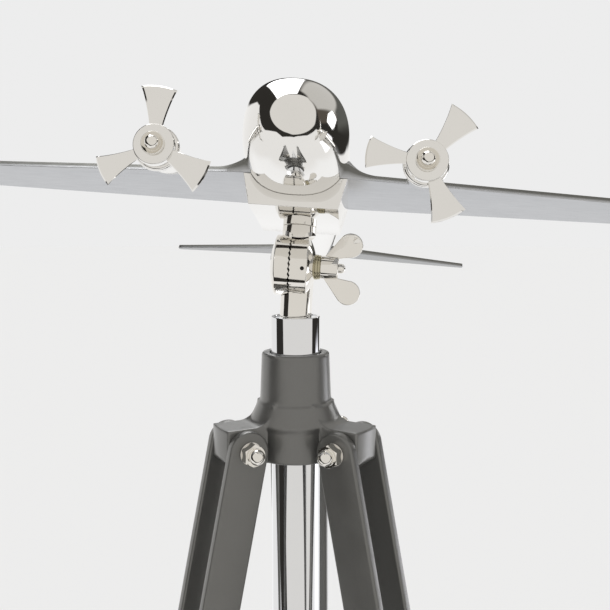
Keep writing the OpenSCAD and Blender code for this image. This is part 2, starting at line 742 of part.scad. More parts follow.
// Nacelles and propellers
module nacelle(side) {
    length = nacelle_reach + 4;
    end_r = 9;
    slot_h = wing_le_t + 0.8;
    swell = [for (u = [0.1:0.15:1]) [nacelle_r - (nacelle_r - end_r) * pow(u, 2), 3 + u * (length - 4)]];
    color("gainsboro") at_plane() difference() {
        translate([side * prop_x, nacelle_front, wing_z]) along_y() rotate_extrude()
            polygon(concat([[0, 0], [nacelle_r - 2.2, 0], [nacelle_r - 0.7, 0.6], [nacelle_r, 2.2]], swell,
                [[end_r - 0.4, length - 0.3], [end_r - 1.1, length], [0, length]]));
        translate([side * prop_x, nacelle_edge - 0.2, wing_z]) rotate([0, 0, side * wing_sweep])
            rotate([90, 0, 90]) translate([0, 0, -nacelle_d]) linear_extrude(2 * nacelle_d)
                polygon([[0, 0], [slot_h * edge_slant, slot_h], [20, slot_h], [20, 0]]);
        translate([side * prop_x, nacelle_front - 1, wing_z]) along_y()
            cylinder(r = axle_d / 2, h = axle_seat + 2);
    }
}
module nacelle_left() nacelle(-1);
module nacelle_right() nacelle(1);

// Flat section with bevelled edges at radius r, turned out of the propeller's plane
function blade_ring(r, w, turn) = let (c = cos(turn), s = sin(turn), e = w / 2, f = e - 0.9, t = blade_t / 2)
    [for (p = [[-e, t / 2], [-f, t], [f, t], [e, t / 2], [e, -t / 2], [f, -t], [-f, -t], [-e, -t / 2]])
        [p[0] * c - p[1] * s, p[0] * s + p[1] * c, r]];
module blade() {
    root_r = hub_d / 2 - 2;
    steps = 4;
    intersection() {
        skin([for (k = [0:steps]) let (u = k / steps)
            blade_ring(root_r + u * (prop_r + 1 - root_r),
                blade_root_w + u * (blade_tip_w - blade_root_w), 24 - 10 * u)]);
        along_y() cylinder(r = prop_r, h = blade_tip_w, center = true);
    }
}
module prop(side, turn) {
    color("gainsboro") at_plane() translate([side * prop_x, prop_y, wing_z]) difference() {
        union() {
            along_y() rotate_extrude() polygon([
                [0, -hub_t / 2], [hub_d / 2 - 0.8, -hub_t / 2], [hub_d / 2, 0.8 - hub_t / 2],
                [hub_d / 2, hub_t / 2 - 0.8], [hub_d / 2 - 0.8, hub_t / 2], [0, hub_t / 2]
            ]);
            for (k = [0:2]) rotate([0, 90 - turn - 120 * k, 0]) blade();
        }
        along_y() cylinder(r = axle_d / 2 + run_fit, h = 2 * hub_t, center = true);
    }
}
module prop_left() prop(-1, prop_left_turn);
module prop_right() prop(1, prop_right_turn);
module prop_washers() {
    color("silver") at_plane() for (side = [-1, 1])
        translate([side * prop_x, nacelle_front - prop_gap + face_gap, wing_z]) along_y()
            ring(4.6, axle_d / 2, prop_gap - face_gap);
}
module prop_axle(side) {
    collar = 4.9;
    knob = 3.3;
    shank = hub_t + face_gap + prop_gap + axle_seat;
    color("gainsboro") at_plane() translate([side * prop_x, prop_y - hub_t / 2 - face_gap, wing_z])
        rotate([90, 0, 0]) {
            cylinder(r = collar, h = 1.8);
            translate([0, 0, 1.7]) cylinder(r = knob, h = 1.9);
            translate([0, 0, 3.6]) intersection() {
                sphere(knob);
                cylinder(r = knob, h = knob + 1);
            }
            translate([0, 0, -shank]) cylinder(r = axle_d / 2, h = shank + 1);
        }
}
module prop_axle_left() prop_axle(-1);
module prop_axle_right() prop_axle(1);

placed() crown();
placed() crown_sleeve();
placed() crown_set_screw();
placed() pivot_bolts();
placed() pivot_washers();
placed() cap_nuts();
for (i = [0:2]) {
    placed() leg_slats(i);
    placed() leg_clamp(i);
    placed() leg_knob(i);
    placed() leg_bar(i);
    placed() leg_foot(i);
}
placed() column_tube();
placed() column_socket();
placed() column_end_plug();
placed() stem_knuckle();
placed() stem_retainer();
placed() knuckle_grub_screw();
placed() neck_knuckle();
placed() tilt_stud();
placed() neck_stud();
placed() lock_washers();
placed() wing_nut();
placed() saddle();
placed() fuselage();
placed() wing_left();
placed() wing_right();
placed() tailplane();
placed() tail_fin();
placed() nacelle_left();
placed() nacelle_right();
placed() prop_left();
placed() prop_right();
placed() prop_washers();
placed() prop_axle_left();
placed() prop_axle_right();
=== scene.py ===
# Polished model airplane on a toothed tilt knuckle, a sliding column and a three-legged stand.
# The dictionaries hold millimetres; every mesh is in metres.
import json
import math
import bmesh
import bpy
import numpy as np
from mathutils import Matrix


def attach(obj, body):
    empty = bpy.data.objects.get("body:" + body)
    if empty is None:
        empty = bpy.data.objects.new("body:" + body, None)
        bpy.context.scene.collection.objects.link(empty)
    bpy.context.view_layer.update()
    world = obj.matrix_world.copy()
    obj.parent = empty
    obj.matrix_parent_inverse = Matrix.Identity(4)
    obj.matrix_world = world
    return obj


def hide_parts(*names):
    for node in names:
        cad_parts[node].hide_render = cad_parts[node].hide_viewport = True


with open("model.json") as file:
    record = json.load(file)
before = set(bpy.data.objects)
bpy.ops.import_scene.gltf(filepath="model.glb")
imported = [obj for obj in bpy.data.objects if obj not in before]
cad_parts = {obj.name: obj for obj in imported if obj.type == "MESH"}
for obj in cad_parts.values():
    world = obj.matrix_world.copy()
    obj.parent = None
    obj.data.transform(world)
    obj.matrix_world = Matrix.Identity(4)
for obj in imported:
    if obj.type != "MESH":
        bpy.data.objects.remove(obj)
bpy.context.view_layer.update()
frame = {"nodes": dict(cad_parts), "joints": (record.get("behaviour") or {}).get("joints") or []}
mm = 0.001
joints = {j["name"]: j for j in frame["joints"]}
print("frame loaded:", len(frame["nodes"]), "nodes")


# Frames of the object, read from the joints


def unit(vector):
    vector = np.asarray(vector, float)
    return vector / np.linalg.norm(vector)


# A right-handed frame: local millimetres become metres in the object's frame.
class Place:
    def __init__(self, origin, xAxis, yAxis):
        self.origin = np.asarray(origin, float)
        self.x = unit(xAxis)
        self.z = unit(np.cross(self.x, yAxis))
        self.y = np.cross(self.z, self.x)

    def at(self, points):
        axes = np.stack([self.x, self.y, self.z])
        return self.origin + np.asarray(points, float) * mm @ axes

    def moved(self, x, y, z):
        return Place(self.at([x, y, z]), self.x, self.y)


tiltAxis = unit(joints["head_tilt"]["axis"])
backAxis = -unit(joints["prop_left_spin"]["axis"])
panAxis = unit(joints["head_pan"]["axis"])
knuckleCentre = joints["head_tilt"]["pos_m"]
neckOffset = -1.2  # from the knuckle's centre to the airplane's middle plane
tilted = Place(knuckleCentre, tiltAxis, backAxis)
airplane = tilted.moved(neckOffset, 0, 0)
head = Place(knuckleCentre, tiltAxis, np.cross(panAxis, tiltAxis))
column = Place(joints["head_pan"]["pos_m"], [1, 0, 0], [0, 1, 0])
legNames = ["left", "right", "back"]


# Origin at the leg's pivot, z up along the leg, y along the pivot bolt.
def legPlace(name):
    fold = joints[f"leg_{name}_fold"]
    up = -unit(joints[f"leg_{name}_extend"]["axis"])
    return Place(fold["pos_m"], np.cross(fold["axis"], up), fold["axis"])


# Origin at the pivot, z out along the bolt on one side, y up.
def boltPlace(name, side):
    axis = unit(joints[f"leg_{name}_fold"]["axis"]) * side
    return Place(joints[f"leg_{name}_fold"]["pos_m"], np.cross([0, 0, 1], axis), [0, 0, 1])


# Surfaces


# Polyline of (x, y, radius) corners, each replaced by an arc that touches both of its sides.
def roundedPath(corners, steps=6):
    corners = [np.asarray(c, float) for c in corners]
    path = []
    for i, corner in enumerate(corners):
        point, radius = corner[:2], corner[2]
        if radius <= 0 or i in (0, len(corners) - 1):
            path.append(point[None])
            continue
        before = unit(corners[i - 1][:2] - point)
        after = unit(corners[i + 1][:2] - point)
        half = math.acos(np.clip(before @ after, -1, 1)) / 2
        centre = point + unit(before + after) * radius / math.sin(half)
        first = point + before * radius / math.tan(half) - centre
        last = point + after * radius / math.tan(half) - centre
        sweep = math.pi - 2 * half
        t = np.linspace(0, 1, steps + 1)[:, None]
        arc = (np.sin((1 - t) * sweep) * first + np.sin(t * sweep) * last) / math.sin(sweep)
        path.append(centre + arc)
    return np.vstack(path)


# The same for a closed outline, where every corner may be round.
def closedRound(corners, steps=6):
    doubled = [corners[-1]] + list(corners) + [corners[0]]
    return roundedPath(doubled, steps)[1:-1]


# A shell of four-sided faces over a grid of points (rows, cols, 3), closed along the columns.
def surface(points):
    rows, cols = points.shape[:2]
    r, c = np.meshgrid(np.arange(rows - 1) * cols, np.arange(cols), indexing="ij")
    after = (c + 1) % cols
    faces = np.stack([r + c, r + after, r + cols + after, r + cols + c], -1)
    return points.reshape(-1, 3), faces.reshape(-1, 4).tolist()


# A closed body through rings of equal point count, with flat ends.
def loft(rings):
    points = np.asarray(rings, float)
    rows, cols = points.shape[:2]
    flat, faces = surface(points)
    faces.append(list(range(cols))[::-1])
    faces.append([(rows - 1) * cols + k for k in range(cols)])
    return flat, faces


# (radius, height) points turned about a local axis: x = height, the others radius times cos and sin.
def revolve(profile, axis, segments=96, centre=(0, 0, 0)):
    profile = np.asarray(profile, float)
    turn = np.linspace(0, 2 * math.pi, segments, endpoint=False)
    across = profile[:, 0, None] * np.cos(turn)
    along = profile[:, 0, None] * np.sin(turn)
    height = np.broadcast_to(profile[:, 1, None], across.shape)
    order = {"x": (height, across, along), "y": (along, height, across), "z": (across, along, height)}[axis]
    return surface(np.stack(order, -1) + np.asarray(centre, float))


# A flat plate about z = 0 whose outline shrinks along a quarter circle at both faces. outline(d) gives the
# outline drawn in by d.
def slab(outline, half, edge, steps=5):
    turn = np.linspace(0, math.pi / 2, steps + 1)
    inset = edge * (1 - np.cos(turn))
    height = half - edge + edge * np.sin(turn)
    rings = [np.column_stack([outline(d), np.full(len(outline(d)), -h)]) for d, h in zip(inset[::-1], height[::-1])]
    rings += [np.column_stack([outline(d), np.full(len(outline(d)), h)]) for d, h in zip(inset, height)]
    return loft(rings)


# Pieces


# One mesh object from (points, faces) parts, welded at its poles, with its faces pointing outwards.
def newMesh(name, parts, place, marks=None):
    points, faces, start = [], [], 0
    for partPoints, partFaces in parts:
        points.append(place.at(partPoints))
        faces += [[start + k for k in f] for f in partFaces]
        start += len(partPoints)
    mesh = bpy.data.meshes.new(name)
    mesh.from_pydata(np.vstack(points).tolist(), [], faces)
    obj = bpy.data.objects.new(name, mesh)
    bpy.context.scene.collection.objects.link(obj)
    if marks:
        marks(obj)
    weld(obj)
    return obj


# Merges doubled points, drops empty faces and turns every face outwards.
def weld(obj, distance=1e-6):
    work = bmesh.new()
    work.from_mesh(obj.data)
    bmesh.ops.remove_doubles(work, verts=work.verts, dist=distance)
    bmesh.ops.dissolve_degenerate(work, dist=distance, edges=work.edges)
    bmesh.ops.recalc_face_normals(work, faces=work.faces)
    work.to_mesh(obj.data)
    work.free()


# Smooth shading up to an angle, the material, and what the piece rides on and stands for.
def finishPiece(obj, material, body, nodes, sharp=35):
    obj.data.materials.clear()
    obj.data.materials.append(material)
    obj.data.shade_smooth()
    obj.data.set_sharp_from_angle(angle=math.radians(sharp))
    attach(obj, body)
    if nodes:
        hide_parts(*nodes)
    return obj


# Puts the result of the modifiers into the mesh.
def applyModifiers(obj):
    graph = bpy.context.evaluated_depsgraph_get()
    mesh = bpy.data.meshes.new_from_object(obj.evaluated_get(graph))
    obj.modifiers.clear()
    obj.data = mesh


# Boolean of obj with each other object, which are then removed.
def combine(obj, others, operation):
    for other in others:
        step = obj.modifiers.new("cut", "BOOLEAN")
        step.operation = operation
        step.solver = "EXACT"
        step.object = other
        applyModifiers(obj)
        bpy.data.objects.remove(other)
    return obj


# A welded copy of a CAD node, whose loose triangles become one shell.
def cadCopy(node):
    source = frame["nodes"][node]
    obj = bpy.data.objects.new(node + "Finished", source.data.copy())
    bpy.context.scene.collection.objects.link(obj)
    weld(obj, 2e-6)
    return obj


# Materials. Patterns read Object coordinates, so they stay on the piece.


# A new node. Its properties go by name; its inputs go by name or place, and each is a value or another's output.
def addNode(tree, kind, inputs=(), **properties):
    node = tree.nodes.new(kind)
    for key, value in properties.items():
        setattr(node, key, value)
    for key, value in dict(inputs).items():
        if isinstance(value, bpy.types.NodeSocket):
            tree.links.new(value, node.inputs[key])
        else:
            node.inputs[key].default_value = value
    return node


def nodeMaterial(name):
    material = bpy.data.materials.new(name)
    material.use_nodes = True
    material.node_tree.nodes.clear()
    shader = addNode(material.node_tree, "ShaderNodeBsdfPrincipled")
    addNode(material.node_tree, "ShaderNodeOutputMaterial", {0: shader.outputs[0]})
    return material, shader


# Noise at so many features to the metre, stretched along the axes.
def objectNoise(material, scale, stretch=(1, 1, 1), detail=4.0, roughness=0.5):
    tree = material.node_tree
    coordinate = addNode(tree, "ShaderNodeTexCoord").outputs["Object"]
    mapping = addNode(tree, "ShaderNodeMapping", {"Vector": coordinate, "Scale": stretch})
    noise = {"Vector": mapping.outputs[0], "Scale": scale, "Detail": detail, "Roughness": roughness}
    return addNode(tree, "ShaderNodeTexNoise", noise).outputs["Fac"]


# Maps the middle of a noise's values to a range.
def spread(material, value, low, high):
    ends = {"Value": value, "From Min": 0.3, "From Max": 0.7, "To Min": low, "To Max": high}
    return addNode(material.node_tree, "ShaderNodeMapRange", ends).outputs["Result"]


def mixColours(material, value, first, second):
    colours = {0: value, 6: (*first, 1), 7: (*second, 1)}
    return addNode(material.node_tree, "ShaderNodeMix", colours, data_type="RGBA").outputs[2]


def bump(material, shader, value, strength, distance):
    relief = {"Strength": strength, "Distance": distance, "Height": value}
    node = addNode(material.node_tree, "ShaderNodeBump", relief)
    material.node_tree.links.new(node.outputs[0], shader.inputs["Normal"])


# Mirror polish: faint haze in patches, and the slow waves that hand polishing leaves.
def polishedMetal(name, light, dark, gloss, waves, waveHeight):
    material, shader = nodeMaterial(name)
    link = material.node_tree.links.new
    shader.inputs["Metallic"].default_value = 1
    link(mixColours(material, objectNoise(material, 45), light, dark), shader.inputs["Base Color"])
    link(spread(material, objectNoise(material, 160, detail=6), *gloss), shader.inputs["Roughness"])
    bump(material, shader, objectNoise(material, waves, detail=1.0), 0.6, waveHeight)
    return material


# Satin finish brushed along one axis, with painted shade: where the leading-edge attribute is 1 the colour turns to a
# darker edge tone, standing in for the dark reflection along the leading edge.
def brushedMetal(name, light, dark, edge, gloss, stretch, height):
    material, shader = nodeMaterial(name)
    link = material.node_tree.links.new
    shader.inputs["Metallic"].default_value = 1
    lines = objectNoise(material, 900, stretch, detail=5, roughness=0.65)
    front = addNode(material.node_tree, "ShaderNodeAttribute", attribute_name="leadingEdgeShade")
    sheet = mixColours(material, lines, light, dark)
    both = mixColours(material, front.outputs["Fac"], light, edge)
    link(sheet, both.node.inputs[6])
    link(both, shader.inputs["Base Color"])
    link(spread(material, lines, *gloss), shader.inputs["Roughness"])
    bump(material, shader, lines, 0.25, height)
    return material


coat = {"metal": 0.55, "weight": 0.35, "roughness": 0.22, "gloss": (0.29, 0.38), "flakes": 2600, "clouds": 60}


# Satin metallic lacquer: fine flakes, slow tone changes and the surface under it.
def lacquer(name, light, dark, grain, grainHeight):
    material, shader = nodeMaterial(name)
    link = material.node_tree.links.new
    shader.inputs["Metallic"].default_value = coat["metal"]
    shader.inputs["Coat Weight"].default_value = coat["weight"]
    shader.inputs["Coat Roughness"].default_value = coat["roughness"]
    flakes = objectNoise(material, coat["flakes"], detail=2, roughness=0.6)
    link(mixColours(material, flakes, light, dark), shader.inputs["Base Color"])
    clouds = objectNoise(material, coat["clouds"], detail=5)
    link(spread(material, clouds, *coat["gloss"]), shader.inputs["Roughness"])
    bump(material, shader, objectNoise(material, 500, grain, detail=6, roughness=0.6), 0.5, grainHeight)
    return material


# Moulded plastic or rubber with a fine eroded grain.
def plastic(name, light, dark, gloss, grain, grainHeight):
    material, shader = nodeMaterial(name)
    link = material.node_tree.links.new
    link(mixColours(material, objectNoise(material, 90, detail=5), light, dark), shader.inputs["Base Color"])
    link(spread(material, objectNoise(material, 700, detail=4), *gloss), shader.inputs["Roughness"])
    bump(material, shader, objectNoise(material, grain, detail=3), 0.5, grainHeight)
    return material


casting = polishedMetal("polishedCasting", (0.86, 0.85, 0.83), (0.82, 0.81, 0.79), (0.03, 0.07), 55, 0.00012)
nickel = polishedMetal("polishedNickel", (0.86, 0.84, 0.80), (0.82, 0.80, 0.76), (0.035, 0.08), 140, 0.00005)
chrome = polishedMetal("chromeTube", (0.84, 0.85, 0.87), (0.82, 0.83, 0.85), (0.02, 0.05), 30, 0.00003)
zinc = polishedMetal("brightZinc", (0.74, 0.72, 0.69), (0.64, 0.62, 0.59), (0.14, 0.26), 300, 0.00004)
yellowZinc = polishedMetal("yellowZinc", (0.52, 0.48, 0.34), (0.40, 0.36, 0.26), (0.16, 0.3), 300, 0.00004)
blackened = polishedMetal("blackenedSteel", (0.035, 0.034, 0.033), (0.022, 0.021, 0.020), (0.25, 0.4), 300, 0.00004)
# The sheet's light and dark tones, then the painted shade tone of the leading edge.
sheetTonesAndEdgeShade = (0.555, 0.565, 0.585), (0.485, 0.495, 0.515), (0.17, 0.17, 0.16)
satin = brushedMetal("satinSheet", *sheetTonesAndEdgeShade, (0.3, 0.42), (0.03, 1, 1), 0.00003)
satinUpright = brushedMetal("satinFinSheet", *sheetTonesAndEdgeShade, (0.36, 0.42), (1, 0.03, 1), 0.000006)
lacquerCast = lacquer("greyLacquer", (0.20, 0.20, 0.195), (0.155, 0.155, 0.15), (1, 1, 1), 0.00004)
lacquerWood = lacquer("greyLacquerOnWood", (0.185, 0.185, 0.178), (0.14, 0.14, 0.135), (1, 1, 0.04), 0.00006)
blackPlastic = plastic("blackPlastic", (0.030, 0.030, 0.032), (0.022, 0.022, 0.023), (0.32, 0.48), 2200, 0.00004)
blackRubber = plastic("blackRubber", (0.030, 0.030, 0.030), (0.042, 0.041, 0.040), (0.62, 0.8), 1500, 0.00008)
print("materials ready")


# Fuselage and saddle

fuselage = {"width": 60, "height": 59.5, "belly": 32.5, "topPower": 2.4, "bottomPower": 2.5, "front": -66.2,
            "rear": 22.5, "noseLength": 76, "noseDrop": 5.5, "nosePower": 2.2, "tailEnd": 306, "tailWidth": 10,
            "tailHeight": 15, "tailHigh": 52.4, "tailCap": 3, "widthPower": 1.6, "heightPower": 1.45,
            "risePower": 1.5}


# Rings whose halves go from ellipses at square = 0 to superellipses of two powers at square = 1.
def fuselageRings(y, width, height, centre, square=1, around=192):
    f = fuselage
    turn = np.linspace(0, 2 * math.pi, around, endpoint=False)
    sizes = (y, width, height, centre, square)
    y, width, height, centre, square = (np.atleast_1d(v).astype(float)[:, None] for v in sizes)
    power = 2 / (2 + square * (np.where(np.sin(turn) >= 0, f["topPower"], f["bottomPower"]) - 2))
    across = np.sign(np.cos(turn)) * np.abs(np.cos(turn)) ** power
    up = np.sign(np.sin(turn)) * np.abs(np.sin(turn)) ** power
    return np.stack([width / 2 * across, y + 0 * across, centre + height / 2 * up], -1)


# Superelliptic nose that sinks with the square of its length, straight middle, and a rear that narrows by powers
# of its length to a rounded end.
def fuselageShell():
    f = fuselage
    middle = f["belly"] + f["height"] / 2
    t = np.radians(np.linspace(90, 0, 80))
    grow = np.cos(t) ** (2 / f["nosePower"])
    way = np.sin(t) ** (2 / f["nosePower"])
    nose = fuselageRings(f["front"] - f["noseLength"] * way, f["width"] * grow, f["height"] * grow,
                         middle - f["noseDrop"] * way ** 2, np.cos(t))
    u = np.linspace(0, 1, 60)
    capStart = f["tailEnd"] - f["tailCap"]
    rear = fuselageRings(f["rear"] + u * (capStart - f["rear"]),
                         f["tailWidth"] + (f["width"] - f["tailWidth"]) * (1 - u ** f["widthPower"]),
                         f["tailHeight"] + (f["height"] - f["tailHeight"]) * (1 - u ** f["heightPower"]),
                         middle + (f["tailHigh"] - middle) * u ** f["risePower"])
    c = np.radians(np.linspace(10, 90, 9))
    cap = fuselageRings(capStart + f["tailCap"] * np.sin(c), f["tailWidth"] * np.cos(c),
                        f["tailHeight"] * np.cos(c), f["tailHigh"] + 0 * c)
    return surface(np.concatenate([nose, rear, cap]))


# The outline moved inwards along the mean normal of its two sides at each point, counter-clockwise.
def drawnIn(outline, distance):
    outline = np.asarray(outline, float)
    side = np.roll(outline, -1, 0) - outline
    side /= np.linalg.norm(side, axis=1, keepdims=True)
    normal = np.column_stack([-side[:, 1], side[:, 0]])
    both = normal + np.roll(normal, 1, 0)
    both /= np.maximum((both * both).sum(1, keepdims=True) / 2, 0.3)
    return outline + distance * both


saddle = {"foot": 25.5, "footWidth": 52.2, "top": 43.8, "topWidth": 60.6, "edge": 0.5}


# The saddle's outline, which follows the fuselage at the top, carried from front to rear with eased edges.
def saddleBody():
    f, s = fuselage, saddle
    middle = f["belly"] + f["height"] / 2
    ring = fuselageRings(0, f["width"], f["height"], middle)[0][:, [0, 2]]
    under = ring[ring[:, 1] < s["top"]]
    under = under[np.argsort(-under[:, 0])]
    outline = np.vstack([[[-s["footWidth"] / 2, s["foot"]], [s["footWidth"] / 2, s["foot"]],
                          [s["topWidth"] / 2, s["top"]]], under, [[-s["topWidth"] / 2, s["top"]]]])
    turn = np.linspace(0, math.pi / 2, 5)
    rings = []
    for start, way in ((f["front"], 1), (f["rear"], -1)):
        ends = [np.insert(drawnIn(outline, s["edge"] * (1 - math.sin(a))), 1,
                          start + way * s["edge"] * (1 - math.cos(a)), axis=1) for a in turn]
        rings += ends if way > 0 else ends[::-1]
    return loft(rings)


hull = newMesh("fuselageShell", [fuselageShell()], airplane)
finishPiece(hull, casting, "airplane", ["fuselage"])
cradle = newMesh("saddleBlock", [saddleBody()], airplane)
finishPiece(cradle, casting, "airplane", ["saddle"], sharp=50)
print("fuselage and saddle done")


# Wings and tail

wing = {"rootX": 30.3, "insideX": 23.97, "span": 600, "chord": 88.7, "sweep": 8, "rearSweep": 2.5, "under": 43.8,
        "thick": 6.5, "edge": 3.6, "rear": 1.2, "fillet": 17, "rise": 1.5, "corner": 6}
foil = {"slant": 34, "ease": 0.15, "crest": 0.3, "edgeColumns": [6, 7, 8]}
# tail also holds a painted shade share that darkens the tailplane away from its leading edge.
tail = {"span": 288, "chord": 46, "tipChord": 10, "sweep": 20.8, "thick": 5.6, "thin": 0.38, "edge": 0.9,
        "rear": 0.5, "paintedShadeRest": 0.4, "front": 246, "high": 52.4, "corner": 2.5}
tailFin = {"thick": 3.2, "height": 66, "sink": 2, "front": 250, "back": 304, "lean": 30, "round": 12,
           "frontRound": 4, "edge": 0.9}
wingSlope = math.tan(math.radians(wing["sweep"]))


# Section for arrays of sizes: a flat underside, a leading edge that leans back with eased corners, and an arched
# top that rises with a sine to its crest and falls with a cosine behind it.
def foilPoints(edge, top, rear, chord, lift):
    edge, top, rear, chord, lift = (np.asarray(v, float)[:, None] for v in (edge, top, rear, chord, lift))
    ease, crest = foil["ease"], foil["crest"]
    back = (1 - ease) * edge * math.tan(math.radians(foil["slant"]))
    a = np.radians(np.linspace(-90, -10, 6))
    frontY = ease * edge * (1 - np.cos(a))
    frontZ = ease * edge * (1 + np.sin(a))
    u = np.concatenate([[0, 0.004, 0.012], np.linspace(0.03, 1, 30)])
    rise = edge + (top - edge) * np.sin(u / crest * math.pi / 2)
    fall = rear + (top - rear) * np.cos((u - crest) / (1 - crest) * math.pi / 2)
    topY = back + u * (chord - back)
    topZ = np.where(u < crest, rise, fall)
    y = np.hstack([frontY, back * 0.5, back * 0.93, topY, chord, 0.5 * (chord + edge)])
    z = np.hstack([frontZ, edge * 0.575, edge * 0.95, topZ, 0 * chord, 0 * chord])
    return y, z * lift


foilColumns = foilPoints([1], [2], [0.5], [20], [1])[0].shape[1]


# Painted shade: 1 on the section's columns that make the leading edge, a lower value elsewhere, by which the material
# darkens in place of the dark reflection there.
def markLeadingEdgeShade(obj, rows, rest=0.0):
    mask = np.where(np.tile(np.isin(np.arange(foilColumns), foil["edgeColumns"]), rows), 1.0, rest)
    layer = obj.data.attributes.new("leadingEdgeShade", "FLOAT", "POINT")
    layer.data.foreach_set("value", mask)


# What a corner of radius r takes off each edge at distance s of a half span.
def tipInset(s, half, r):
    q = np.clip((s - half + r) / r, 0, 1)
    return r * (1 - np.sqrt(1 - q * q))


# Places of the sections around that corner, closer together towards the tip.
def tipPlaces(half, r):
    return half - r + r * np.sin(np.radians(np.linspace(0, 90, 10)))


# Sections from inside the fuselage to the tip. The wing narrows in a straight line, and at the root its height
# grows with the square of the way back to the fuselage.
def wingBody(side):
    w = wing
    half = w["span"] / 2
    x = np.concatenate([[w["insideX"], w["rootX"]], w["rootX"] + w["fillet"] * np.linspace(0.05, 1, 20),
                        np.linspace(w["rootX"] + w["fillet"] + 8, half - w["corner"] - 4, 12),
                        tipPlaces(half, w["corner"])])
    out = np.maximum(0, x - w["rootX"])
    lift = np.where(out < w["fillet"], 1 + w["rise"] * (1 - out / w["fillet"]) ** 2, 1)
    inset = tipInset(x, half, w["corner"])
    chord = w["chord"] - out * (wingSlope + math.tan(math.radians(w["rearSweep"]))) - 2 * inset
    front = fuselage["front"] + out * wingSlope + inset
    same = 1 + 0 * x
    y, z = foilPoints(w["edge"] * same, w["thick"] * same, w["rear"] * same, chord, lift)
    points = np.stack([side * x[:, None] + 0 * y, front[:, None] + y, w["under"] + z], -1)
    return loft(points)


# The same from tip to tip, with chord and thickness in proportion to the way out.
def tailBody():
    t = tail
    half = t["span"] / 2
    outer = np.concatenate([np.linspace(0.01, half - t["corner"] - 3, 8), tipPlaces(half, t["corner"])])
    x = np.concatenate([-outer[::-1], outer])
    s = np.abs(x)
    inset = tipInset(s, half, t["corner"])
    chord = t["chord"] + (t["tipChord"] - t["chord"]) * s / half - 2 * inset
    front = t["front"] + s * math.tan(math.radians(t["sweep"])) + inset
    thick = t["thick"] * (1 - t["thin"] * s / half)
    y, z = foilPoints(t["edge"] * thick, thick, t["rear"] * thick, chord, 1 + 0 * x)
    points = np.stack([x[:, None] + 0 * y, front[:, None] + y, t["high"] - t["thick"] / 2 + z], -1)
    return loft(points)


# A plate in the middle plane: a leaning front, a rounded top corner and a straight back.
def finBody():
    t = tailFin
    foot = tail["high"] - t["sink"]
    top = tail["high"] + t["height"]
    outline = closedRound([(t["front"], foot, 0), (t["back"], foot, 0), (t["back"], top, t["round"]),
                           (t["front"] + t["lean"], top, t["frontRound"])], 10)
    points, faces = slab(lambda d: drawnIn(outline, d), t["thick"] / 2, t["edge"])
    return points[:, [2, 0, 1]], faces


for side, name in ((-1, "left"), (1, "right")):
    # Each wing's leading edge carries painted shade, darker than the rest of the sheet.
    body = wingBody(side)
    panel = newMesh(f"{name}Wing", [body], airplane, lambda obj: markLeadingEdgeShade(obj, len(body[0]) // foilColumns))
    finishPiece(panel, satin, "airplane", [f"wing_{name}"], sharp=40)
body = tailBody()
# The tailplane is darkened by painted shade: fully along its leading edge and partly all over the rest, standing in
# for its dark reflection.
rearPlane = newMesh("tailPlane", [body], airplane,
                    lambda obj: markLeadingEdgeShade(obj, len(body[0]) // foilColumns, tail["paintedShadeRest"]))
finishPiece(rearPlane, satin, "airplane", ["tailplane"], sharp=40)
fin = newMesh("finPlate", [finBody()], airplane)
finishPiece(fin, satinUpright, "airplane", ["tail_fin"], sharp=40)
print("wings and tail done")


# Engines and propellers

engine = {"x": 71.4, "height": 43.8, "reach": 50, "inside": 4, "diameter": 24.4, "frontRound": 2.2, "rim": 3,
          "endRadius": 6.2, "endEase": 1, "taper": 0.8, "endRise": 4.5, "gap": 1.2}
propeller = {"radius": 32, "hub": 22, "hubThick": 6, "rootWidth": 6.8, "tipWidth": 18.9, "thick": 2,
             "rootPitch": 24, "tipPitch": 14, "bevel": 0.8, "tipThin": 0.25, "flare": 1.3, "sink": 2, "hubRound": 0.9,
             "leftTurn": 90, "rightTurn": 54}
axle = {"collar": 6.2, "collarThick": 2.0, "lip": 0.4, "dish": 0.3, "knob": 4.0, "knobLength": 2.6, "shank": 2.5,
        "shankLength": 24, "fit": 0.05, "clear": 0.3}
nacelleFront = fuselage["front"] + (engine["x"] - wing["rootX"]) * wingSlope - engine["reach"]
propMiddle = nacelleFront - engine["gap"] - propeller["hubThick"] / 2


# A barrel with a rounded front that narrows with a power of its length while its middle rises with the square.
def nacelleBody(side):
    e = engine
    r, end, length = e["diameter"] / 2, e["endRadius"], e["reach"] + e["inside"]
    u = np.linspace(0, 1, 24)
    barrel = np.column_stack([r - (r - end) * u ** e["taper"], e["rim"] + u * (length - e["rim"] - e["endEase"])])
    front = roundedPath([(0, 0, 0), (r, 0, e["frontRound"]), (r, e["rim"], 0)], 8)[:-1]
    profile = np.vstack([front, barrel, [[end - 0.3, length - 0.3], [end - 1.1, length], [0, length]]])
    points, faces = revolve(profile, "y", 96, (side * e["x"], nacelleFront, e["height"]))
    points[:, 2] += e["endRise"] * ((points[:, 1] - nacelleFront) / length) ** 2
    return points, faces


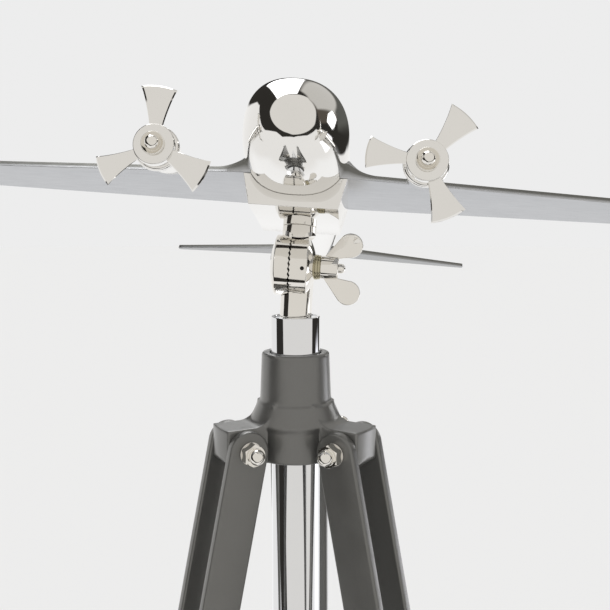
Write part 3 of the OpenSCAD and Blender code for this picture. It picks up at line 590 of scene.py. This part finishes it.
# Flat sections with chamfered sides, wider and less pitched towards the tip, turned about the y axis. The width
# grows with a power of the reach; each section bends back at its sides so that the tip is an arc about the hub.
def bladeRings(turn):
    p = propeller
    half = p["thick"] / 2
    base = p["hub"] / 2 - p["sink"]
    u = np.concatenate([np.linspace(0, 1, 26) * (1 - p["bevel"] / (p["radius"] - base)), [1]])
    thin = np.concatenate([np.ones(26), [p["tipThin"]]])
    rings = []
    for reach, scale in zip(u, thin):
        width = (p["rootWidth"] + (p["tipWidth"] - p["rootWidth"]) * reach ** p["flare"]) / 2
        pitch = math.radians(p["rootPitch"] + (p["tipPitch"] - p["rootPitch"]) * reach)
        thick = half * scale
        flat = np.linspace(p["bevel"] - width, width - p["bevel"], 13)
        low = np.column_stack([flat, np.full(len(flat), -thick)])
        side = [[width, -0.25 * thick], [width, 0.25 * thick]]
        section = np.vstack([low, side, -low, np.negative(side)])
        a = section[:, 0] * math.cos(pitch) - section[:, 1] * math.sin(pitch)
        b = section[:, 0] * math.sin(pitch) + section[:, 1] * math.cos(pitch)
        r = base + (p["radius"] - base) * reach
        arc = np.sqrt(np.maximum(r * r - a * a, 1)) - r
        rings.append(np.column_stack([a, b, r + arc * reach ** 4]))
    beta = math.pi / 2 - turn
    points = np.asarray(rings)
    x = points[..., 0] * math.cos(beta) + points[..., 2] * math.sin(beta)
    z = -points[..., 0] * math.sin(beta) + points[..., 2] * math.cos(beta)
    return np.stack([x, points[..., 1], z], -1)


# A bored hub with three blades joined to it.
def propellerPiece(side, name, turn):
    p = propeller
    place = airplane.moved(side * engine["x"], propMiddle, engine["height"])
    half, radius, bore = p["hubThick"] / 2, p["hub"] / 2, axle["shank"] + axle["fit"]
    profile = roundedPath([(bore, half, 0), (radius, half, p["hubRound"]), (radius, -half, p["hubRound"]),
                           (bore, -half, 0), (bore, half, 0)], 6)
    piece = newMesh(f"{name}Propeller", [revolve(profile, "y", 128)], place)
    blades = [newMesh(f"{name}Blade{k}", [loft(bladeRings(math.radians(turn + 120 * k)))], place) for k in range(3)]
    combine(piece, blades, "UNION")
    finishPiece(piece, casting, f"prop_{name}", [f"prop_{name}"], sharp=38)


# A dished collar and a domed head in front of the hub, with the shank behind.
def axleBody(side):
    a = axle
    front = propMiddle - propeller["hubThick"] / 2 - a["clear"]
    collar = roundedPath([(a["shank"], a["shankLength"], 0), (a["shank"], 0, 0), (a["collar"], 0, 0.2),
                          (a["collar"], -a["collarThick"], 0.3), (a["collar"] - a["lip"], -a["collarThick"], 0.1),
                          (a["knob"] + 0.1, -a["dish"], 0.1), (a["knob"], -a["dish"] - 0.2, 0),
                          (a["knob"], -a["knobLength"], 0)], 5)
    t = np.radians(np.linspace(0, 90, 16))
    dome = np.column_stack([a["knob"] * np.cos(t), -(a["knobLength"] + a["knob"] * np.sin(t))])
    profile = np.vstack([[[0, a["shankLength"]]], collar, dome])
    return revolve(profile, "y", 96, (side * engine["x"], front, engine["height"]))


for side, name in ((-1, "left"), (1, "right")):
    barrel = newMesh(f"{name}Nacelle", [nacelleBody(side)], airplane)
    finishPiece(barrel, casting, "airplane", [f"nacelle_{name}"])
    pin = newMesh(f"{name}Axle", [axleBody(side)], airplane)
    finishPiece(pin, nickel, "airplane", [f"prop_axle_{name}"])
    propellerPiece(side, name, propeller[name + "Turn"])
print("engines and propellers done")


# Tilt knuckle

knuckle = {"disc": 39.3, "upperRim": 10, "lowerRim": 11.6, "upperDome": 3.5, "lowerDome": 4.2, "upperFlat": 1,
           "lowerFlat": 8.3, "rimRound": 1.2, "ledge": 0.4, "teeth": 36, "pointsPerTooth": 8, "toothDepth": 0.8,
           "toothShift": 1.25, "socket": 11.4, "socketDepth": 1.5, "seam": -5, "gap": 0.2, "relief": 20.15,
           "reach": 60, "stem": 20.8, "stemLength": 62.7, "neck": 22, "neckTop": 25.5, "grub": 1.3,
           "grubOffset": 2.6, "grubDepth": 12.6, "grubReach": 30, "stud": 6.3, "studInside": 7, "studBeyond": 4.6}


# A disc turned about x whose inner face rises and falls in radial teeth, deepest at the rim, and whose outer face
# is a part of a ball.
def toothedDisc(face, way, rim, dome, flat, shift=0):
    k = knuckle
    radius = k["disc"] / 2
    edge = radius - k["rimRound"]
    foot = edge - k["ledge"]
    drop = (foot ** 2 - flat ** 2 - dome ** 2) / (2 * dome)
    ball = math.hypot(foot, drop)
    rimArc = [(edge + k["rimRound"] * math.cos(t), rim - k["rimRound"] + k["rimRound"] * math.sin(t))
              for t in np.radians(np.linspace(0, 90, 9))]
    first, last = math.asin(drop / ball), math.acos(flat / ball)
    domeArc = [(ball * math.cos(t), rim - drop + ball * math.sin(t)) for t in np.linspace(first, last, 40)]
    outside = rimArc + [(foot + 0.02, rim)] + domeArc + [(0, rim + dome)]
    inside = [(0, k["socketDepth"]), (k["socket"], k["socketDepth"]), (k["socket"], 0), (radius, 0)]
    profile = np.array(inside + outside)
    toothed = np.zeros(len(profile))
    toothed[2:4] = 1
    turn = np.linspace(0, 2 * math.pi, k["teeth"] * k["pointsPerTooth"], endpoint=False)
    step = (turn + math.radians(shift)) * k["teeth"] / math.pi
    wave = 1 - np.abs(1 - np.mod(step, 2))
    r = profile[:, 0, None] + 0 * turn
    height = profile[:, 1, None] + toothed[:, None] * k["toothDepth"] * wave * r / radius
    points = np.stack([face + way * height, r * np.cos(turn), r * np.sin(turn)], -1)
    return surface(points)


# A cylinder with rounded edges.
def rod(radius, low, high, axis, edge=0.4, segments=160, centre=(0, 0, 0)):
    profile = roundedPath([(0, low, 0), (radius, low, edge), (radius, high, edge), (0, high, 0)], 5)
    return revolve(profile, axis, segments, centre)


# Post cut clear of the other half's disc, joined to its own disc, with its holes bored.
def knuckleHalf(name, place, post, disc, reliefLow, reliefHigh, holes):
    k = knuckle
    piece = newMesh(name, [post], place)
    clear = newMesh(name + "Clear", [rod(k["relief"], reliefLow, reliefHigh, "x", 0.01, 192)], place)
    combine(piece, [clear], "DIFFERENCE")
    combine(piece, [newMesh(name + "Disc", [disc], place)], "UNION")
    combine(piece, [newMesh(f"{name}Hole{i}", [hole], place) for i, hole in enumerate(holes)], "DIFFERENCE")
    return piece


k = knuckle
lowerFace = k["seam"] + k["gap"] / 2
upperFace = k["seam"] - k["gap"] / 2
lowerOut = lowerFace + k["lowerRim"]
grubX = (lowerFace + lowerOut) / 2 + k["grubOffset"]
lower = knuckleHalf("stemHalf", head, rod(k["stem"] / 2, -k["stemLength"], 0, "z"),
                    toothedDisc(lowerFace, 1, k["lowerRim"], k["lowerDome"], k["lowerFlat"]), -k["reach"],
                    lowerFace, [rod(k["grub"], -k["grubReach"], -k["grubDepth"], "y", 0.01, 48, (grubX, 0, 0))])
finishPiece(lower, nickel, "head", ["stem_knuckle"], sharp=32)
upper = knuckleHalf("neckHalf", tilted, rod(k["neck"] / 2, 0, k["neckTop"], "z", 0.4, 160, (neckOffset, 0, 0)),
                    toothedDisc(upperFace, -1, k["upperRim"], k["upperDome"], k["upperFlat"], k["toothShift"]),
                    upperFace, k["reach"], [])
finishPiece(upper, nickel, "airplane", ["neck_knuckle"], sharp=32)

wingNut = {"body": 15.6, "length": 11.7, "earStart": 1.4, "earSink": 2, "earBeyond": 7, "earReach": 15.5,
           "earRound": 8, "earThick": 2.5, "earEdge": 0.7}
washer = {"thick": 1.6, "fit": 0.05, "outer": 8.2, "step": 0.3}
washerX = lowerOut + k["lowerDome"] + washer["fit"]
nutX = washerX + 2 * (washer["thick"] + washer["fit"])
studEnd = nutX + wingNut["length"] + k["studBeyond"]


# A flat ring about x with rounded outer edges.
def washerBody(start, outer, inner, thick, edge=0.25):
    profile = roundedPath([(inner, start, 0), (outer, start, edge), (outer, start + thick, edge),
                           (inner, start + thick, 0), (inner, start, 0)], 4)
    return revolve(profile, "x", 96)


# A round end with straight sides that run to the nut's body.
def earOutline(distance):
    n = wingNut
    start = np.array([n["earStart"], n["body"] / 2 - n["earSink"]])
    tip = np.array([n["length"] + n["earBeyond"], n["earReach"]])
    radius = n["earRound"] - distance
    away = start - tip
    turn = math.atan2(away[1], away[0]) - math.acos(radius / np.linalg.norm(away)) + 2 * math.pi
    arc = np.linspace(-math.pi / 2, turn, 40)
    roundEnd = tip + radius * np.column_stack([np.cos(arc), np.sin(arc)])
    inner = [[n["length"] - 1, start[1]], [n["length"] - 0.6, n["body"] / 2 - 1.5 + distance]]
    return np.vstack([[start + [distance * 0.5, 0]], inner, roundEnd])


# A bored barrel with an ear joined to each side.
def wingNutPiece():
    n = wingNut
    place = tilted.moved(nutX, 0, 0)
    bore, radius = k["stud"] / 2 + washer["fit"], n["body"] / 2
    profile = roundedPath([(bore, 0, 0), (radius, 0, 0.7), (radius - 0.5, n["length"], 1.3), (bore, n["length"], 0.3),
                           (bore, 0, 0)], 6)
    piece = newMesh("wingNut", [revolve(profile, "x", 128)], place)
    ears = []
    for side in (-1, 1):
        points, faces = slab(earOutline, n["earThick"] / 2, n["earEdge"])
        points = np.column_stack([points[:, 0], -side * points[:, 2], side * points[:, 1]])
        ears.append(newMesh(f"ear{side + 1}", [(points, faces)], place))
    combine(piece, ears, "UNION")
    finishPiece(piece, nickel, "nut", ["wing_nut"], sharp=38)


studStart = upperFace - k["studInside"]
studProfile = roundedPath([(0, studStart, 0), (k["stud"] / 2, studStart, 0.2), (k["stud"] / 2, studEnd, 3.0),
                           (0, studEnd, 0)], 14)
stud = newMesh("tiltStud", [revolve(studProfile, "x", 96)], tilted)
finishPiece(stud, nickel, "airplane", ["tilt_stud"])
rings = [washerBody(washerX + i * (washer["thick"] + washer["fit"]), washer["outer"] - i * washer["step"],
                    k["stud"] / 2 + washer["fit"], washer["thick"]) for i in range(2)]
pair = newMesh("lockWasherPair", rings, tilted)
finishPiece(pair, yellowZinc, "washer_pair", ["lock_washers"])
wingNutPiece()
print("knuckle done")


# Column, crown and pivots

tube = {"diameter": 32, "wall": 2, "length": 420, "edge": 0.6}
crown = {"voxel": 0.8, "easing": 4, "inside": 21, "foot": -10.5, "core": 29.5, "skirt": 30.5, "shoulder": 13,
         "top": 25.6, "ledge": 24.9, "collar": 23.2}
pivot = {"bolt": 8, "slatHalf": 20, "gap": 0.1, "washer": 1.4, "washerRadius": 7.3, "acrossFlats": 13,
         "nutHeight": 6.5, "neck": 2.5, "dome": 4.96, "chamfer": 30}
r = tube["diameter"] / 2
tubeProfile = roundedPath([(r - tube["wall"], -tube["length"], 0), (r, -tube["length"], 0.3), (r, 0, tube["edge"]),
                           (r - tube["wall"], 0, 0.3), (r - tube["wall"], -tube["length"], 0)], 6)
pipe = newMesh("columnPipe", [revolve(tubeProfile, "z", 192)], column)
finishPiece(pipe, chrome, "column", ["column_tube"])


# The CAD solid joined with a turned form, remeshed fine and eased, so that its corners and roots run as they do on
# a casting.
def softCasting(node, turned, voxel, easing):
    piece = combine(cadCopy(node), [turned], "UNION")
    step = piece.modifiers.new("remesh", "REMESH")
    step.mode = "VOXEL"
    step.voxel_size = voxel * mm
    step.use_smooth_shade = True
    applyModifiers(piece)
    step = piece.modifiers.new("ease", "SMOOTH")
    step.factor = 0.5
    step.iterations = easing
    applyModifiers(piece)
    return piece


# Straight core, a cone that narrows up to the collar, and a narrow ledge at its top.
def skirtProfile():
    c = crown
    ledgeTop = c["top"] + 0.6
    corners = [(c["inside"], c["foot"], 0), (c["core"], c["foot"], 1), (c["core"], c["shoulder"] - 3, 2),
               (c["skirt"], c["shoulder"], 1.5), (c["ledge"], c["top"], 0), (c["collar"], ledgeTop, 0),
               (c["inside"], ledgeTop, 0), (c["inside"], c["foot"], 0)]
    return roundedPath(corners, 6)


pivotHeight = joints["leg_back_fold"]["pos_m"][2]
crownPlace = Place([*joints["head_pan"]["pos_m"][:2], pivotHeight], [1, 0, 0], [0, 1, 0])
skirt = newMesh("crownSkirt", [revolve(skirtProfile(), "z", 144)], crownPlace)
finishPiece(softCasting("crown", skirt, crown["voxel"], crown["easing"]), lacquerCast, "stand_crown",
            ["crown"], sharp=60)


# Hexagon with the corners of both ends chamfered by a cone, and a domed cap: each angle has its own profile.
def capNutBody():
    flat, dome = pivot["acrossFlats"] / 2, pivot["dome"]
    turn = np.linspace(0, 2 * math.pi, 144, endpoint=False)
    hexagon = flat / np.cos(np.mod(turn + math.pi / 6, math.pi / 3) - math.pi / 6)
    fall = (hexagon - flat) * math.tan(math.radians(pivot["chamfer"]))
    height = pivot["nutHeight"]
    neck = height + pivot["neck"]
    rows = [(0, 0), (flat, 0), (hexagon, fall), (hexagon, height - fall), (flat, height), (dome + 0.25, height),
            (dome, height + 0.25), (dome, neck)]
    rows += [(dome * math.cos(t), neck + dome * math.sin(t)) for t in np.radians(np.linspace(5, 90, 18))]
    radius, z = (np.array([row[i] + 0 * turn for row in rows]) for i in (0, 1))
    return surface(np.stack([radius * np.cos(turn), radius * np.sin(turn), z], -1))


nuts, washers = [], []
for name in legNames:
    for side in (-1, 1):
        base = boltPlace(name, side).moved(0, 0, pivot["slatHalf"] + pivot["gap"])
        points, faces = capNutBody()
        nuts.append((base.moved(0, 0, pivot["washer"]).at(points) / mm, faces))
        points, faces = washerBody(0, pivot["washerRadius"], pivot["bolt"] / 2, pivot["washer"], 0.3)
        washers.append((base.at(points[:, [1, 2, 0]]) / mm, faces))
world = Place([0, 0, 0], [1, 0, 0], [0, 1, 0])
finishPiece(newMesh("capNutSet", nuts, world), nickel, "stand_crown", ["cap_nuts"], sharp=25)
finishPiece(newMesh("pivotWasherSet", washers, world), zinc, "stand_crown", ["pivot_washers"])
print("column and crown done")


# Legs

slat = {"width": 26, "thick": 7, "length": 560, "middle": 16.5, "edge": 1.6}


# Straight sides, a square foot and a half-round top.
def slatOutline(distance):
    half = slat["width"] / 2 - distance
    arc = np.linspace(0, math.pi, 33)
    top = np.column_stack([half * np.cos(arc), half * np.sin(arc)])
    return np.vstack([[[-half, -slat["length"] + distance], [half, -slat["length"] + distance]], top])


# The CAD solid with its flat faces merged and its sharp edges rounded.
def easedCopy(node, width, segments=2, angle=35):
    piece = cadCopy(node)
    work = bmesh.new()
    work.from_mesh(piece.data)
    bmesh.ops.dissolve_limit(work, angle_limit=math.radians(0.5), verts=work.verts, edges=work.edges)
    work.to_mesh(piece.data)
    work.free()
    step = piece.modifiers.new("ease", "BEVEL")
    step.width = width * mm
    step.segments = segments
    step.limit_method = "ANGLE"
    step.angle_limit = math.radians(angle)
    step.use_clamp_overlap = True
    applyModifiers(piece)
    return piece


# For each fitting: width of the eased edges, material, the body it rides on after the leg's name, and its slot.
legFittings = {"clamp": (0.8, lacquerCast, "", "grey_lacquer"),
               "knob": (0.5, blackPlastic, "_screw", "black_plastic"),
               "foot": (1.0, blackRubber, "_lower", "black_rubber")}
for name in legNames:
    place = legPlace(name)
    sides = []
    for side in (-1, 1):
        points, faces = slab(slatOutline, slat["thick"] / 2, slat["edge"])
        sides.append((np.column_stack([points[:, 0], points[:, 2] + side * slat["middle"], points[:, 1]]), faces))
    piece = newMesh(f"{name}Slats", sides, place)
    finishPiece(piece, lacquerWood, f"leg_{name}", [f"leg_{name}_slats"])
    for fitting, (width, material, body, slot) in legFittings.items():
        node = f"leg_{name}_{fitting}"
        finishPiece(easedCopy(node, width), material, f"leg_{name}{body}", [node])
print("legs done")

# CAD nodes that keep their own mesh
keptNodes = {"column_socket": chrome, "column_end_plug": blackPlastic, "crown_sleeve": blackPlastic,
             "crown_set_screw": zinc, "stem_retainer": zinc, "knuckle_grub_screw": blackened, "neck_stud": zinc,
             "pivot_bolts": zinc, "prop_washers": zinc, **{f"leg_{name}_bar": lacquerWood for name in legNames}}
for node, material in keptNodes.items():
    mesh = frame["nodes"][node].data
    mesh.materials.clear()
    mesh.materials.append(material)


# Studio: a pale floor, a sky that holds the softboxes, and the camera

studio = {"pale": 0.846, "floorGrey": 0.8, "floorGlow": 0.865, "glowShare": 0.8, "floorRadius": 30,
          "floorDrop": 0.0005}


# World colour by direction, in degrees: azimuth 0 in front of the nose and + to the right, elevation + up.
# Flat panels around the object are painted as polygons whose sides are planes through its middle.
class Sky:
    def __init__(self, base):
        bpy.context.scene.world = bpy.data.worlds.new("studio")
        bpy.context.scene.world.use_nodes = True
        self.tree = bpy.context.scene.world.node_tree
        self.tree.nodes.clear()
        self.direction = self.add("ShaderNodeTexCoord").outputs["Generated"]
        split = self.add("ShaderNodeSeparateXYZ", {0: self.direction})
        back = self.math("MULTIPLY", split.outputs["Y"], -1)
        self.azimuth = self.math("DEGREES", self.math("ARCTAN2", split.outputs["X"], back))
        self.elevation = self.math("DEGREES", self.math("ARCSINE", split.outputs["Z"]))
        rgb = self.add("ShaderNodeRGB")
        rgb.outputs[0].default_value = (*base, 1)
        self.colour = rgb.outputs[0]

    def add(self, kind, inputs=(), **properties):
        return addNode(self.tree, kind, inputs, **properties)

    def math(self, operation, *values):
        return self.add("ShaderNodeMath", enumerate(values), operation=operation).outputs[0]

    # From 0 to 1 between low and high, eased at both ends.
    def ramp(self, value, low, high):
        ends = {"Value": value, "From Min": low, "From Max": high}
        return self.add("ShaderNodeMapRange", ends, interpolation_type="SMOOTHSTEP").outputs["Result"]

    # Where the mask is 1, the colour takes the place of what was painted before.
    def paint(self, mask, colour):
        colours = {0: mask, 6: self.colour, 7: (*colour, 1)}
        self.colour = self.add("ShaderNodeMix", colours, data_type="RGBA").outputs[2]

    # A convex polygon of (azimuth, elevation) corners, clockwise as seen from the object.
    def panel(self, corners, colour, soft=2.0):
        turns = np.radians([c[0] for c in corners])
        rises = np.radians([c[1] for c in corners])
        points = np.column_stack([np.sin(turns) * np.cos(rises), -np.cos(turns) * np.cos(rises), np.sin(rises)])
        half = math.sin(math.radians(soft / 2))
        mask = None
        for a, b in zip(points, np.roll(points, -1, 0)):
            sides = {0: self.direction, 1: unit(np.cross(b, a))}
            dot = self.add("ShaderNodeVectorMath", sides, operation="DOT_PRODUCT")
            inside = self.ramp(dot.outputs["Value"], -half, half)
            mask = inside if mask is None else self.math("MULTIPLY", mask, inside)
        self.paint(mask, colour)

    # A rectangle of azimuth and elevation; azimuths may run past 180.
    def patch(self, azimuths, elevations, colour, soft):
        middle = (azimuths[0] + azimuths[1]) / 2
        half = (azimuths[1] - azimuths[0]) / 2
        turned = self.math("ADD", self.azimuth, 540 - middle)
        offset = self.math("SUBTRACT", self.math("MODULO", turned, 360.0), 180.0)
        side = self.ramp(self.math("ABSOLUTE", offset), half + soft / 2, half - soft / 2)
        low = self.ramp(self.elevation, elevations[0] - soft / 2, elevations[0] + soft / 2)
        high = self.ramp(self.elevation, elevations[1] + soft / 2, elevations[1] - soft / 2)
        self.paint(self.math("MULTIPLY", self.math("MULTIPLY", side, low), high), colour)

    # Everything below a line of (azimuth, elevation) points from -180 to 180.
    def below(self, line, colour, soft=2.0):
        along = self.math("DIVIDE", self.math("ADD", self.azimuth, 180.0), 360.0)
        curve = self.add("ShaderNodeValToRGB", {0: along})
        stops = curve.color_ramp.elements
        while len(stops) < len(line):
            stops.new(0.5)
        for stop, (azimuth, elevation) in zip(stops, line):
            stop.position = (azimuth + 180) / 360
            level = (elevation + 90) / 180
            stop.color = (level, level, level, 1)
        height = self.math("SUBTRACT", self.math("MULTIPLY", curve.outputs[0], 180.0), 90.0)
        over = self.math("SUBTRACT", self.elevation, height)
        self.paint(self.ramp(over, soft / 2, -soft / 2), colour)

    # The camera and whatever is seen through a clear thing get the plain pale backdrop.
    def finish(self, pale):
        path = self.add("ShaderNodeLightPath")
        share = self.math("MAXIMUM", path.outputs["Is Camera Ray"], path.outputs["Is Transmission Ray"])
        self.paint(share, (pale, pale, pale))
        background = self.add("ShaderNodeBackground", {"Color": self.colour})
        self.add("ShaderNodeOutputWorld", {0: background.outputs[0]})


sky = Sky((0.030, 0.028, 0.025))
# Behind and over the camera: a large diffuser
sky.panel([(-56, -3), (-68, 15), (-82, 35), (-100, 78), (126, 72), (104, 43), (95, 13), (88, -4), (79, -16),
           (14, -54), (-19, -44)], (0.79, 0.77, 0.735))
# Over and behind the tail: the softbox
sky.panel([(-81, 62), (-163, 26), (-179, 19), (174, 41), (133, 75), (-120, 82)], (3.2, 3.2, 3.2))
# A dim panel at the right that grows brighter upwards, with a small lamp in it
sky.panel([(102, 3), (98, 25), (102, 50), (149, 65), (173, 42), (178, 21), (164, 9)], (0.10, 0.085, 0.07), 4)
sky.panel([(103, 23), (102, 50), (149, 65), (173, 42), (178, 22), (143, 10), (126, 17)], (0.60, 0.585, 0.555), 7)
sky.panel([(144, 4), (143, 14), (178, 20), (184, 15), (179, 7)], (0.11, 0.11, 0.10), 4)
sky.panel([(122, 7), (126, 13), (137, 15), (142, 8), (132, 2)], (3.0, 3.0, 3.0))
# The pale ground and low backdrop, up to the line where the dark starts
sky.below([(-180, 9), (-166, 10), (-156, 13), (-146, 18), (-136, 24), (-122, 25), (-105, 9), (-89, -16), (-71, -26),
           (-50, -38), (-36, -60), (-13, -62), (20, -62), (51, -50), (73, -38), (84, -24), (93, -11), (111, -10),
           (129, -9), (142, -14), (152, -7), (165, 2), (175, 5), (180, 9)], (0.91, 0.90, 0.885))
sky.patch((140, 220), (-45, -12), (1.0, 1.0, 1.0), 14)
# A low softbox beside the stand
sky.patch((111, 132), (-27, -6), (2.4, 2.4, 2.5), 4)
sky.finish(studio["pale"])


# Seen by the camera it is mostly the backdrop's own colour, with the object's shadow under it.
def floorMaterial():
    grey, glowLevel = studio["floorGrey"], studio["floorGlow"]
    material = bpy.data.materials.new("floor")
    material.use_nodes = True
    tree = material.node_tree
    tree.nodes.clear()
    plain = addNode(tree, "ShaderNodeBsdfDiffuse", {0: (grey, grey, grey, 1)})
    glow = addNode(tree, "ShaderNodeEmission", {0: (glowLevel, glowLevel, glowLevel, 1)})
    seen = addNode(tree, "ShaderNodeLightPath").outputs["Is Camera Ray"]
    share = addNode(tree, "ShaderNodeMath", {0: seen, 1: studio["glowShare"]}, operation="MULTIPLY")
    mix = addNode(tree, "ShaderNodeMixShader", {0: share.outputs[0], 1: plain.outputs[0], 2: glow.outputs[0]})
    addNode(tree, "ShaderNodeOutputMaterial", {0: mix.outputs[0]})
    return material


turn = np.linspace(0, 2 * math.pi, 96, endpoint=False)
rim = studio["floorRadius"] * np.column_stack([np.cos(turn), np.sin(turn), 0 * turn])
rim[:, 2] = -studio["floorDrop"]
floorMesh = bpy.data.meshes.new("floor")
floorMesh.from_pydata(rim.tolist(), [], [list(range(len(rim)))])
floor = bpy.data.objects.new("floor", floorMesh)
bpy.context.scene.collection.objects.link(floor)
floorMesh.materials.append(floorMaterial())
floor.visible_glossy = False

view = {"place": (29.5, -637.3, 1199.4), "down": 6.27, "left": 2.8, "lens": 50, "sensor": 36, "farMetres": 100}
cameraData = bpy.data.cameras.new("camera")
cameraData.lens = view["lens"]
cameraData.sensor_width = view["sensor"]
cameraData.clip_end = view["farMetres"]
camera = bpy.data.objects.new("camera", cameraData)
camera.location = [v * mm for v in view["place"]]
camera.rotation_euler = (math.radians(90 - view["down"]), 0, math.radians(view["left"]))
bpy.context.scene.collection.objects.link(camera)
bpy.context.scene.camera = camera
bpy.context.scene.view_settings.view_transform = "Standard"
print("studio ready")
